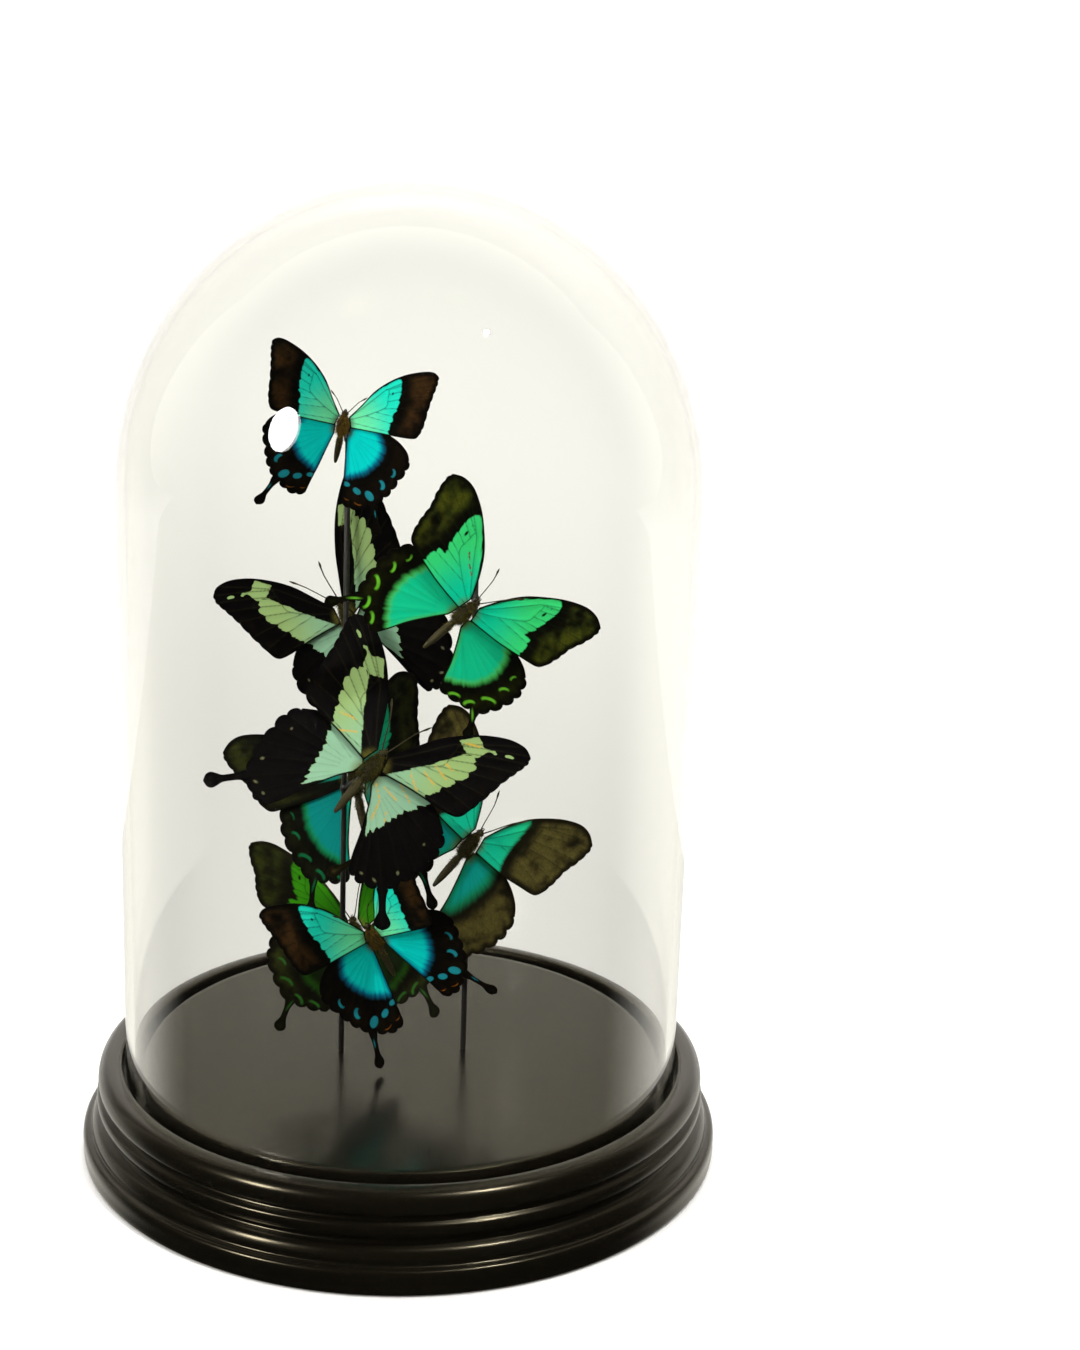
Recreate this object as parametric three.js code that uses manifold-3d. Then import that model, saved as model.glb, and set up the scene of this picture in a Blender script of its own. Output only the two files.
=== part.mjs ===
// Eight swallowtail butterflies under a glass dome, on a turned black base.
// Millimetres, +Z up. The origin is at the middle of the base's underside, and -Y is the front.
import * as THREE from "three";
import { mergeVertices } from "three/addons/utils/BufferGeometryUtils.js";
import Module from "manifold-3d";

const wasm = await Module();
wasm.setup();

const { degToRad } = THREE.MathUtils;

// Driving dimensions
const BASE_RADIUS = 104;
const RIM_RADIUS = 98.9;
const BASE_HEIGHT = 29.8;
const FLOOR_RADIUS = 84.8;
const GROOVE_OUTER_RADIUS = 91;
const GROOVE_DEPTH = 7.3;
const GLASS_RADIUS = 90;
const GLASS_WALL = 2.8;
const GLASS_TOP = 309.4;
const GLASS_CAP_HEIGHT = 92.6;
const FIT_GAP = 0.35;
const ROUND_STEPS = 34;

// The two mounting stems: black rods that stand in holes drilled in the floor.
const STEM_RADIUS = 0.9;
const STEM_SIDES = 8;
const STEM_HOLE_DEPTH = 10;
const stems = {
  left: { foot: [-20, -4], top: [-20, 1.5, 238] },
  right: { foot: [20, 0], top: [20, 13, 186] },
};
// Side pegs run from the stems into the thoraxes, as a mounting pin does.
const PEG_RADIUS = 0.55;
const PEG_SIDES = 4;
const PEG_STOP = 1.3;

const WING_THICKNESS = 0.4;
// Where a wing's hinge line lies from the middle of the thorax, for a butterfly of size 1:
// out to the side, forward, and up towards the back.
const FORE_HINGE = [2.2, 2.6, 0.8];
const HIND_HINGE = [2.25, -2.2, -0.4];
const THORAX_RADIUS = 2.35;
const BODY_SIDES = 7;
const ANTENNA_SPREAD = 24;
const ANTENNA_RAISE = 28;
const LEG_RADIUS = 0.34;
const LEG_SPAN = 6;
const HIPS_FORWARD = [3, 0.6, -1.8];

// Wing outlines of a right wing of size 1: x runs out from the hinge line, y forwards.
// Each is a smooth curve through a few points. The hindwing's margins have lobes between veins.
// A wing starts 0.9 outside its hinge line, where it leaves the thorax.
const turquoiseShape = {
  costa: [[0.9, 3], [8, 9.5], [15, 16.5], [23, 22], [31.5, 26], [40, 28.3], [45.5, 28.6], [48, 26.8]],
  outer: [[48, 26.8], [47, 23], [44.5, 17.5], [41.5, 10.5], [38.5, 2.5], [36, -2]],
  trailing: [[36, -2], [33.5, -4.2], [27, -4.4], [15, -3.6], [0.9, -2.5]],
  leading: [[0.9, 2.4], [8.5, 6.6], [17.5, 8.3], [24.5, 7.8], [30.5, 5], [33.3, 1]],
  margin: [[33.3, 1], [33.4, -4.5], [31.8, -11], [30.6, -17], [28.6, -22.5], [26.2, -27]],
  anal: [[23.2, -30], [19.5, -34], [14.5, -36.5], [10, -35.5]],
  inner: [[10, -35.5], [8.3, -29], [5.5, -19.5], [2.6, -8.5], [0.9, -2.6]],
  tail: { from: [24.8, -28.6], to: [32.2, -43], stalk: 1.2, club: 2.7 },
};
const greenShape = {
  costa: [[0.9, 3.6], [6.5, 10.5], [13.5, 17], [21.5, 21.6], [29.5, 25], [37.5, 26.8], [43, 26], [46.8, 23.5]],
  outer: [[46.8, 23.5], [47.3, 20.5], [45, 14.8], [41.8, 9.6], [39.9, 4], [37.6, -0.8]],
  trailing: [[37.6, -0.8], [34.5, -3.6], [27, -4], [15, -4], [0.9, -2.6]],
  leading: [[0.9, 2.4], [7, 5.5], [14.5, 7], [21.5, 6], [27.5, 3.2], [31.3, -0.5]],
  margin: [[31.3, -0.5], [33.2, -6], [33.4, -11.5], [32, -17.5], [29.8, -23.5], [26.8, -28.4]],
  anal: [[23.5, -29.6], [19, -30.6], [14, -31.6], [10, -31]],
  inner: [[10, -31], [8.6, -26], [6.6, -17.5], [3, -7.5], [0.9, -2.4]],
  tail: { from: [25.2, -28.2], to: [30.2, -41.5], stalk: 1.1, club: 2.4 },
};
const bandedShape = {
  costa: [[0.9, 3.6], [7, 9.6], [14, 16.3], [22, 21.6], [30, 25.5], [38.5, 28], [45, 28], [48.4, 26]],
  outer: [[48.4, 26], [48.4, 23.2], [46, 19], [43, 14], [39.6, 7], [36.4, 1]],
  trailing: [[36.4, 1], [33.5, -3], [28, -3.8], [14, -2.6], [0.9, -2.1]],
  leading: [[0.9, 2.4], [7, 6], [14, 7], [20.5, 6], [26, 3], [30, -0.5]],
  margin: [[30, -0.5], [31.8, -5.5], [31.2, -11.5], [29.8, -17.5], [27.6, -23.5], [24.8, -28.6]],
  anal: [[22.3, -30.2], [18, -32], [14, -32.2], [11, -30.5]],
  inner: [[11, -30.5], [9.4, -26], [7, -17], [3.5, -7], [0.9, -2.4]],
  tail: { from: [23.4, -28.8], to: [31.4, -41], stalk: 1.2, club: 2.9 },
};
const MARGIN_LOBES = 5;
const ANAL_LOBES = 3;
const LOBE_HEIGHT = 1.3;

const BLACK_LACQUER = 0x17130f;
const BROWN_FUR = 0x2a2012;
const CLEAR_GLASS = 0xf4f3ee;
const finishes = {
  turquoise: { color: 0x2ec9c4, roughness: 0.45, metalness: 0.1 },
  green: { color: 0x22b77c, roughness: 0.5, metalness: 0.1 },
  banded: { color: 0x1d1712, roughness: 0.6, metalness: 0 },
  olive: { color: 0x3d3a16, roughness: 0.6, metalness: 0 },
};

// Each butterfly: the middle of its thorax; how it is turned (heading about the upright, then
// climb, then bank); its size; and for the left and right wing the lift of the wings above
// level, how far the hindwing hangs below the forewing, the forward swing of the fore and hind
// wings, and how much longer each of the four wings is than its outline. Last comes its peg:
// the stem that carries it, and the height at which the peg leaves that stem.
const butterflies = [
  {
    name: "top_turquoise", shape: turquoiseShape, finish: "turquoise",
    at: [-20.1, -15, 238.2], turn: [-149, 67, 151], size: 0.65,
    lift: [18, 21], drop: [2, 3], foreSwing: [15, 17], hindSwing: [-2, -8],
    stretch: [0.95, 0.99, 1.01, 0.98], peg: ["left", 232],
  },
  {
    name: "right_green", shape: greenShape, finish: "green",
    at: [17.3, -19, 182.9], turn: [-75, 40, 95], size: 0.793,
    lift: [0, 2], drop: [3, 3], foreSwing: [6, 16], hindSwing: [9, 8],
    stretch: [0.99, 1.01, 1.03, 1.19], peg: ["right", 180],
  },
  {
    name: "left_banded", shape: bandedShape, finish: "banded",
    at: [-19.7, 8, 172.8], turn: [64, 56, -100], size: 0.933,
    lift: [8, -4], drop: [2, 9], foreSwing: [4, 19], hindSwing: [-1, 0],
    stretch: [0.97, 0.98, 1.01, 1], peg: ["left", 172],
  },
  {
    name: "centre_banded", shape: bandedShape, finish: "banded",
    at: [-9.1, -31, 136.6], turn: [-42, 36, 39], size: 0.911,
    lift: [2, -10], drop: [1, 2], foreSwing: [15, 13], hindSwing: [10, 3],
    stretch: [0.92, 0.93, 0.98, 1.03], peg: ["left", 120],
  },
  {
    name: "middle_teal", shape: greenShape, finish: "turquoise",
    at: [-17.8, 14, 116.6], turn: [43, 71, -74], size: 0.897,
    lift: [12, 13], drop: [1, 24], foreSwing: [-7, 12], hindSwing: [-3, -14],
    stretch: [1, 1, 0.98, 1], peg: ["left", 116],
  },
  {
    name: "lower_right_green", shape: greenShape, finish: "green",
    at: [20.2, -3.5, 102.5], turn: [-54, 40, 72], size: 0.862,
    lift: [-3, -8], drop: [2, 1], foreSwing: [7, 12], hindSwing: [0, -5],
    stretch: [0.92, 0.93, 1, 1.07], peg: ["right", 99],
  },
  {
    name: "front_turquoise", shape: turquoiseShape, finish: "turquoise",
    at: [-8.5, -15, 74.3], turn: [110, 63, -113], size: 0.757,
    lift: [43, 29], drop: [1, 17], foreSwing: [16, 14], hindSwing: [-8, 6],
    stretch: [0.96, 0.95, 0.94, 1.03], peg: ["left", 69],
  },
  {
    name: "lower_left_olive", shape: greenShape, finish: "olive",
    at: [-17.3, 15, 63.2], turn: [17, 34, -17], size: 0.87,
    lift: [28, 31], drop: [4, 8], foreSwing: [22, 18], hindSwing: [7, -7],
    stretch: [0.98, 0.94, 0.97, 0.96], peg: ["left", 66],
  },
];

function material(color, roughness, metalness = 0) {
  return new THREE.MeshStandardMaterial({ color, roughness, metalness });
}

// A closed geometry as a solid, ready to be cut or joined.
function solid(geometry) {
  const bare = geometry.clone();
  bare.deleteAttribute("normal");
  bare.deleteAttribute("uv");
  const merged = mergeVertices(bare, 1e-4);
  return new wasm.Manifold(
    new wasm.Mesh({
      numProp: 3,
      vertProperties: merged.attributes.position.array,
      triVerts: new Uint32Array(merged.index.array),
    }),
  );
}

function geometryOf(body) {
  const mesh = body.getMesh();
  const geometry = new THREE.BufferGeometry();
  geometry.setAttribute("position", new THREE.BufferAttribute(mesh.vertProperties, 3));
  geometry.setIndex(new THREE.BufferAttribute(mesh.triVerts, 1));
  geometry.computeVertexNormals();
  return geometry;
}

function joined(geometries) {
  return geometryOf(geometries.map(solid).reduce((sum, next) => sum.add(next)));
}

// A profile of [radius, height] points turned about the upright axis.
function turned(profile, steps) {
  const points = profile.map(([r, z]) => new THREE.Vector2(r, z));
  return new THREE.LatheGeometry(points, steps).rotateX(Math.PI / 2);
}

// A straight rod between two points.
function rod(from, to, radius, sides) {
  const along = new THREE.Vector3().subVectors(to, from);
  const geometry = new THREE.CylinderGeometry(radius, radius, along.length(), sides);
  geometry.translate(0, along.length() / 2, 0);
  const up = new THREE.Vector3(0, 1, 0);
  geometry.applyQuaternion(new THREE.Quaternion().setFromUnitVectors(up, along.normalize()));
  return geometry.translate(from.x, from.y, from.z);
}

// The base: foot band, cove, bead and rim outside, then the glass groove and the raised floor.
function baseProfile() {
  const grooveFloor = BASE_HEIGHT - GROOVE_DEPTH;
  return [
    [0, 0],
    [BASE_RADIUS - 0.8, 0],
    [BASE_RADIUS, 0.8],
    [BASE_RADIUS, 6.2],
    [BASE_RADIUS - 0.7, 7.7],
    [BASE_RADIUS - 2.6, 8.5],
    [BASE_RADIUS - 3, 10.4],
    [BASE_RADIUS - 4.2, 12.4],
    [BASE_RADIUS - 6.4, 13.8],
    [BASE_RADIUS - 6.6, 15],
    [RIM_RADIUS - 0.3, 16],
    [RIM_RADIUS + 0.5, 17.8],
    [RIM_RADIUS + 0.3, 19.8],
    [RIM_RADIUS - 1.4, 21.2],
    [RIM_RADIUS - 1.6, 22.2],
    [RIM_RADIUS - 0.3, 23.2],
    [RIM_RADIUS, 25.2],
    [RIM_RADIUS - 0.7, 27.6],
    [RIM_RADIUS - 2.4, 29.3],
    [RIM_RADIUS - 4.6, BASE_HEIGHT],
    [GROOVE_OUTER_RADIUS + 0.7, BASE_HEIGHT - 0.5],
    [GROOVE_OUTER_RADIUS, BASE_HEIGHT - 1.4],
    [GROOVE_OUTER_RADIUS, grooveFloor],
    [FLOOR_RADIUS, grooveFloor],
    [FLOOR_RADIUS, BASE_HEIGHT - 0.8],
    [FLOOR_RADIUS - 0.8, BASE_HEIGHT],
    [0, BASE_HEIGHT],
  ];
}

// The glass: a straight wall and a nearly half-round cap, open at the bottom, with a round lip.
function glassProfile() {
  const foot = BASE_HEIGHT - GROOVE_DEPTH + FIT_GAP;
  const spring = GLASS_TOP - GLASS_CAP_HEIGHT;
  const inside = GLASS_RADIUS - GLASS_WALL;
  const capSteps = 6;
  const cap = (radius, height) =>
    Array.from({ length: capSteps + 1 }, (_, i) => {
      const angle = ((Math.PI / 2) * i) / capSteps;
      return [i === capSteps ? 0 : radius * Math.cos(angle), spring + height * Math.sin(angle)];
    });
  return [
    ...cap(inside, GLASS_CAP_HEIGHT - GLASS_WALL).reverse(),
    [inside, foot + 0.8],
    [inside + 0.9, foot],
    [GLASS_RADIUS - 0.9, foot],
    [GLASS_RADIUS, foot + 0.8],
    ...cap(GLASS_RADIUS, GLASS_CAP_HEIGHT),
  ];
}

// Samples of a smooth curve through the points, without its last point.
function smooth(points, perSpan) {
  const curve = new THREE.SplineCurve(points.map(([x, y]) => new THREE.Vector2(x, y)));
  return curve.getPoints((points.length - 1) * perSpan).slice(0, -1);
}

// Lobes that stand out to the left of the way along the curve, notched where the veins end.
function lobed(points, lobes, perLobe) {
  const curve = new THREE.SplineCurve(points.map(([x, y]) => new THREE.Vector2(x, y)));
  const outline = [];
  for (let i = 0; i < lobes * perLobe; i++) {
    const t = i / (lobes * perLobe);
    const tangent = curve.getTangent(t);
    const out = LOBE_HEIGHT * (Math.sin((Math.PI * (i % perLobe)) / perLobe) - 0.5);
    outline.push(curve.getPoint(t).add(new THREE.Vector2(-tangent.y, tangent.x).multiplyScalar(out)));
  }
  return outline;
}

// A hindwing's tail: a narrow stalk that ends in a round club.
function tailOutline({ from, to, stalk, club }) {
  const start = new THREE.Vector2(...from);
  const end = new THREE.Vector2(...to);
  const along = end.clone().sub(start);
  const side = new THREE.Vector2(-along.y, along.x).normalize();
  const stations = [[0.25, stalk], [0.58, stalk * 1.05], [0.78, club * 0.92], [0.92, club * 0.85]];
  const at = (t, width) => start.clone().addScaledVector(along, t).addScaledVector(side, width);
  const outwards = stations.map(([t, width]) => at(t, width));
  const back = stations.map(([t, width]) => at(t, -width)).reverse();
  return [...outwards, end, ...back];
}

function forewingOutline(shape) {
  return [...smooth(shape.costa, 1), ...smooth(shape.outer, 2), ...smooth(shape.trailing, 1),
    new THREE.Vector2(...shape.trailing.at(-1))];
}

function hindwingOutline(shape) {
  return [...smooth(shape.leading, 1), ...lobed(shape.margin, MARGIN_LOBES, 2),
    ...tailOutline(shape.tail), ...lobed(shape.anal, ANAL_LOBES, 2),
    ...smooth(shape.inner, 1), new THREE.Vector2(...shape.inner.at(-1))];
}

// One flat wing, set on its hinge line; side is -1 for left and 1 for right.
function wing(outline, { hinge, side, size, stretch, swing, lift }) {
  const points = outline.map(
    ({ x, y }) => new THREE.Vector2(side * x * size * stretch, y * size * (2 - stretch)),
  );
  const geometry = new THREE.ExtrudeGeometry(new THREE.Shape(points), {
    depth: WING_THICKNESS,
    bevelEnabled: false,
  });
  geometry.translate(0, 0, -WING_THICKNESS / 2);
  const mesh = new THREE.Mesh(geometry);
  mesh.position.set(side * hinge[0] * size, hinge[1] * size, hinge[2] * size);
  mesh.rotation.set(0, -side * degToRad(lift), side * degToRad(swing), "YZX");
  return mesh;
}

// Head, thorax and tapering abdomen in one turned form along Y, with antennae and folded legs.
function bodyGeometry(size) {
  const profile = [
    [0, -20], [0.9, -18.5], [1.6, -12], [1.55, -7], [1.1, -4.6],
    [THORAX_RADIUS * 0.86, -2.6], [THORAX_RADIUS, 0.6], [THORAX_RADIUS * 0.82, 3.4],
    [0.95, 5], [1.35, 6.6], [0, 8.2],
  ];
  const antenna = [[0, 0], [0.3, 0.2], [0.24, 13], [0.5, 16.5], [0, 18.2]];
  const lathe = (outline, sides) =>
    new THREE.LatheGeometry(outline.map(([r, y]) => new THREE.Vector2(r, y)), sides);
  const parts = [lathe(profile, BODY_SIDES)];
  for (const side of [-1, 1]) {
    const feeler = lathe(antenna, 3).rotateZ(-side * degToRad(ANTENNA_SPREAD));
    parts.push(feeler.rotateX(degToRad(ANTENNA_RAISE)).translate(side * 0.6, 6.8, 0.6));
    for (const forward of HIPS_FORWARD) {
      const hip = new THREE.Vector3(side * 1.3, forward, -1.1);
      const foot = new THREE.Vector3(side * 2.8, forward * 1.6 - 2.4, -LEG_SPAN);
      parts.push(rod(hip, foot, LEG_RADIUS, 3));
    }
  }
  return joined(parts).scale(size, size, size);
}

// The point of a stem at a height.
function stemPoint({ foot, top }, z) {
  const bottom = new THREE.Vector3(...foot, BASE_HEIGHT - STEM_HOLE_DEPTH + FIT_GAP);
  const end = new THREE.Vector3(...top);
  return bottom.clone().lerp(end, (z - bottom.z) / (end.z - bottom.z));
}

// The peg of a butterfly, made thicker and longer by a clearance for the socket it sits in.
function pegRod({ at, peg: [side, height] }, clearance = 0) {
  const start = stemPoint(stems[side], height);
  const thorax = new THREE.Vector3(...at);
  const reach = start.distanceTo(thorax) - PEG_STOP + clearance;
  const end = start.clone().lerp(thorax, reach / start.distanceTo(thorax));
  return rod(start, end, PEG_RADIUS + clearance, PEG_SIDES);
}

function stem(sideName) {
  const bottom = BASE_HEIGHT - STEM_HOLE_DEPTH + FIT_GAP;
  const { top } = stems[sideName];
  const upright = rod(stemPoint(stems[sideName], bottom), new THREE.Vector3(...top),
    STEM_RADIUS, STEM_SIDES);
  const pegs = butterflies.filter(({ peg }) => peg[0] === sideName).map((kind) => pegRod(kind));
  return joined([upright, ...pegs]);
}

// The turned base with a drilled hole for each stem.
function drilledBase() {
  let base = solid(turned(baseProfile(), ROUND_STEPS));
  for (const line of Object.values(stems)) {
    const bottom = stemPoint(line, BASE_HEIGHT - STEM_HOLE_DEPTH);
    const above = stemPoint(line, BASE_HEIGHT + 1);
    base = base.subtract(solid(rod(bottom, above, STEM_RADIUS + FIT_GAP, STEM_SIDES)));
  }
  return geometryOf(base);
}

function butterfly(kind) {
  const group = new THREE.Group();
  group.position.set(...kind.at);
  const [heading, climb, bank] = kind.turn.map(degToRad);
  group.rotation.set(climb, bank, heading, "ZXY");
  group.updateMatrix();
  const socket = pegRod(kind, FIT_GAP).applyMatrix4(group.matrix.clone().invert());
  const socketed = solid(bodyGeometry(kind.size)).subtract(solid(socket));
  const trunk = socketed.decompose().sort((a, b) => b.volume() - a.volume())[0];
  const body = new THREE.Mesh(geometryOf(trunk), material(BROWN_FUR, 0.8));
  body.name = kind.name + "_body";
  group.add(body);
  const { color, roughness, metalness } = finishes[kind.finish];
  const fore = forewingOutline(kind.shape);
  const hind = hindwingOutline(kind.shape);
  for (const [i, side] of [-1, 1].entries()) {
    const sideName = side < 0 ? "left" : "right";
    const common = { side, size: kind.size };
    const forewing = wing(fore, {
      ...common, hinge: FORE_HINGE, stretch: kind.stretch[i],
      swing: kind.foreSwing[i], lift: kind.lift[i],
    });
    forewing.name = `${kind.name}_${sideName}_forewing`;
    const hindwing = wing(hind, {
      ...common, hinge: HIND_HINGE, stretch: kind.stretch[2 + i],
      swing: kind.hindSwing[i], lift: kind.lift[i] - kind.drop[i],
    });
    hindwing.name = `${kind.name}_${sideName}_hindwing`;
    for (const mesh of [forewing, hindwing]) {
      mesh.material = material(color, roughness, metalness);
      group.add(mesh);
    }
  }
  return group;
}

const root = new THREE.Group();

const base = new THREE.Mesh(drilledBase(), material(BLACK_LACQUER, 0.3));
base.name = "wooden_base";
root.add(base);

for (const side of Object.keys(stems)) {
  const mesh = new THREE.Mesh(stem(side), material(BLACK_LACQUER, 0.4));
  mesh.name = `${side}_stem`;
  root.add(mesh);
}

const glass = new THREE.Mesh(turned(glassProfile(), ROUND_STEPS), material(CLEAR_GLASS, 0.05));
glass.name = "glass_dome";
root.add(glass);

for (const kind of butterflies) root.add(butterfly(kind));

export default root;
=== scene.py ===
import math
import random
from collections import namedtuple

import bmesh
import bpy
import numpy as np
from mathutils import Matrix, Vector, noise


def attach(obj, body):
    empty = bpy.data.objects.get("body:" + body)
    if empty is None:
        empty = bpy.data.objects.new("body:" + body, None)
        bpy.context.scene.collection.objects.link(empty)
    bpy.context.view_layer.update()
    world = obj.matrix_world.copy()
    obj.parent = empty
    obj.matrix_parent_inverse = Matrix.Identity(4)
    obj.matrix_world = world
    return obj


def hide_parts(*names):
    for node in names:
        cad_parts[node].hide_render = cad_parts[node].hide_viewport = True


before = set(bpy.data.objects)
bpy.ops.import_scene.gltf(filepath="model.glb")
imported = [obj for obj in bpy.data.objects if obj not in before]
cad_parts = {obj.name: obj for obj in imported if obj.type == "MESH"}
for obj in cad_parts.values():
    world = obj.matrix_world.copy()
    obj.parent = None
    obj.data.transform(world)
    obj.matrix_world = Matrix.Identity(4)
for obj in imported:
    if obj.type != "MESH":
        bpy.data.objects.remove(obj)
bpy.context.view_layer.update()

# Swallowtail butterflies under a glass dome, on a turned black base.
# Sizes are in millimetres and are turned to metres as each piece is finished. -Y is the front.
# A pattern's scale is written as its features in a millimetre, over MM.
MM = 0.001

# Driving sizes, as in the solid model
BASE_RADIUS = 104
RIM_RADIUS = 98.9
BASE_HEIGHT = 29.8
FLOOR_RADIUS = 84.8
GROOVE_OUTER_RADIUS = 91
GROOVE_DEPTH = 7.3
GLASS_RADIUS = 90
GLASS_WALL = 2.8
GLASS_TOP = 309.4
GLASS_CAP_HEIGHT = 92.6
FIT_GAP = 0.35
STEM_RADIUS = 0.9
STEM_HOLE_DEPTH = 10
STEMS = {
    "left": {"foot": (-20, -4), "top": (-20, 1.5, 238)},
    "right": {"foot": (20, 0), "top": (20, 13, 186)},
}
PEG_RADIUS = 0.55
PEG_STOP = 1.3
STEM_SIDES = 20
PEG_SIDES = 12
GLUE_BLOB = (1.35, 1.35, 1.9)
FORE_HINGE = (2.2, 2.6, 0.8)
HIND_HINGE = (2.25, -2.2, -0.4)
BASE_STEPS = 192
GLASS_STEPS = 160

# A wing's sheet: the spacing of its points, the membrane, the lobes of the margins, the ridge of a
# vein, and the pleats between veins, which flatten towards the margin
SHEET_STEP = 0.55
MEMBRANE = 0.16
FORE_LOBE_HEIGHT = 0.45
LOBE_HEIGHT = 1.3
VEIN_RIDGE = 0.05
VEIN_HALF_WIDTH = 0.3
PLEAT_DEPTH = 0.13
PLEAT_FLANK = 0.9
PLEAT_MARGIN = 3
# How far the sheet cockled as it dried, where that reaches its full height, and its waves a mm
COCKLE = 0.55
COCKLE_FULL_AT = 30
COCKLE_WAVES = 0.06
# A bright patch's outer side starts this far from the root and is scalloped where veins meet it.
OUTER_FROM = 11
OUTER_OVER = 4.5
SCALLOP_HALF_WIDTH = 0.6
# The distance, in mm, that stands for a wing without a mark
FAR_AWAY = 9.0

# A body: radius and place along it from the tail's end to the brow, its limbs, and its fur
TRUNK = [(0, -20), (0.55, -19.6), (0.9, -18.5), (1.35, -15.5), (1.6, -12), (1.65, -9.4), (1.55, -7),
         (1.1, -4.6), (2.02, -2.6), (2.35, 0.6), (1.93, 3.4), (0.95, 5), (1.35, 6.6), (0.9, 7.8),
         (0, 8.2)]
TRUNK_STEPS = 20
ABDOMEN_FROM = -5
ABDOMEN_RING = 1.7
ANTENNA = [(0, 0), (0.1, 4), (0.35, 8), (0.5, 12), (0.2, 15), (-0.1, 16.6), (-0.3, 18.2)]
ANTENNA_RADII = [0.26, 0.22, 0.2, 0.2, 0.24, 0.42, 0.15]
ANTENNA_SPREAD = 24
ANTENNA_RAISE = 28
HIPS = (3, 0.6, -1.8)
LEG_RADII = [0.34, 0.26, 0.17, 0.08]
EYE_SIZE = (0.62, 0.78, 0.8)
TONGUE_COIL = 0.75
TONGUE_TURN = 11
TONGUE_STEPS = 26
FUR_FROM = -9
HAIRS = 1500
HAIR_ROOT = 0.09
HAIR_TIP = 0.01
HAIR_SEED = 7

# The photograph's camera: its place and lens in millimetres, its dip and roll in degrees
CAMERA_PLACE = (41.355, -648.93, 338.22)
CAMERA_DIP = 15.438
CAMERA_ROLL = 1.954
CAMERA_LENS = 71.14
SENSOR_WIDTH = 36

# The white paper: its width, its front and top edges, and the bend up into the backdrop
PAPER_WIDTH = 5200
PAPER_FRONT = -2600
PAPER_TOP = 2600
BEND_START = 600
BEND_RADIUS = 700
BEND_STEPS = 24
# The glass and the lacquer mirror only the paper behind this line, so the black stays deep.
MIRRORED_FROM = 260
# The lamp that lights the wings, and the round one whose oval shows in the glass, stand here.
FRONT_LEFT = (-1091, -951, 851)

# Wing outlines of a right wing of size 1: x runs out from the hinge line, y forwards.
TURQUOISE_SHAPE = {
    "costa": [(0.9, 3), (8, 9.5), (15, 16.5), (23, 22), (31.5, 26), (40, 28.3), (45.5, 28.6),
              (48, 26.8)],
    "outer": [(48, 26.8), (47, 23), (44.5, 17.5), (41.5, 10.5), (38.5, 2.5), (36, -2)],
    "trailing": [(36, -2), (33.5, -4.2), (27, -4.4), (15, -3.6), (0.9, -2.5)],
    "leading": [(0.9, 2.4), (8.5, 6.6), (17.5, 8.3), (24.5, 7.8), (30.5, 5), (33.3, 1)],
    "margin": [(33.3, 1), (33.4, -4.5), (31.8, -11), (30.6, -17), (28.6, -22.5), (26.2, -27)],
    "anal": [(23.2, -30), (19.5, -34), (14.5, -36.5), (10, -35.5)],
    "inner": [(10, -35.5), (8.3, -29), (5.5, -19.5), (2.6, -8.5), (0.9, -2.6)],
    "tail": {"start": (24.8, -28.6), "end": (32.2, -43), "stalk": 1.2, "club": 2.7},
}
GREEN_SHAPE = {
    "costa": [(0.9, 3.6), (6.5, 10.5), (13.5, 17), (21.5, 21.6), (29.5, 25), (37.5, 26.8), (43, 26),
              (46.8, 23.5)],
    "outer": [(46.8, 23.5), (47.3, 20.5), (45, 14.8), (41.8, 9.6), (39.9, 4), (37.6, -0.8)],
    "trailing": [(37.6, -0.8), (34.5, -3.6), (27, -4), (15, -4), (0.9, -2.6)],
    "leading": [(0.9, 2.4), (7, 5.5), (14.5, 7), (21.5, 6), (27.5, 3.2), (31.3, -0.5)],
    "margin": [(31.3, -0.5), (33.2, -6), (33.4, -11.5), (32, -17.5), (29.8, -23.5), (26.8, -28.4)],
    "anal": [(23.5, -29.6), (19, -30.6), (14, -31.6), (10, -31)],
    "inner": [(10, -31), (8.6, -26), (6.6, -17.5), (3, -7.5), (0.9, -2.4)],
    "tail": {"start": (25.2, -28.2), "end": (30.2, -41.5), "stalk": 1.1, "club": 2.4},
}
BANDED_SHAPE = {
    "costa": [(0.9, 3.6), (7, 9.6), (14, 16.3), (22, 21.6), (30, 25.5), (38.5, 28), (45, 28),
              (48.4, 26)],
    "outer": [(48.4, 26), (48.4, 23.2), (46, 19), (43, 14), (39.6, 7), (36.4, 1)],
    "trailing": [(36.4, 1), (33.5, -3), (28, -3.8), (14, -2.6), (0.9, -2.1)],
    "leading": [(0.9, 2.4), (7, 6), (14, 7), (20.5, 6), (26, 3), (30, -0.5)],
    "margin": [(30, -0.5), (31.8, -5.5), (31.2, -11.5), (29.8, -17.5), (27.6, -23.5),
               (24.8, -28.6)],
    "anal": [(22.3, -30.2), (18, -32), (14, -32.2), (11, -30.5)],
    "inner": [(11, -30.5), (9.4, -26), (7, -17), (3.5, -7), (0.9, -2.4)],
    "tail": {"start": (23.4, -28.8), "end": (31.4, -41), "stalk": 1.2, "club": 2.9},
}

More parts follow.
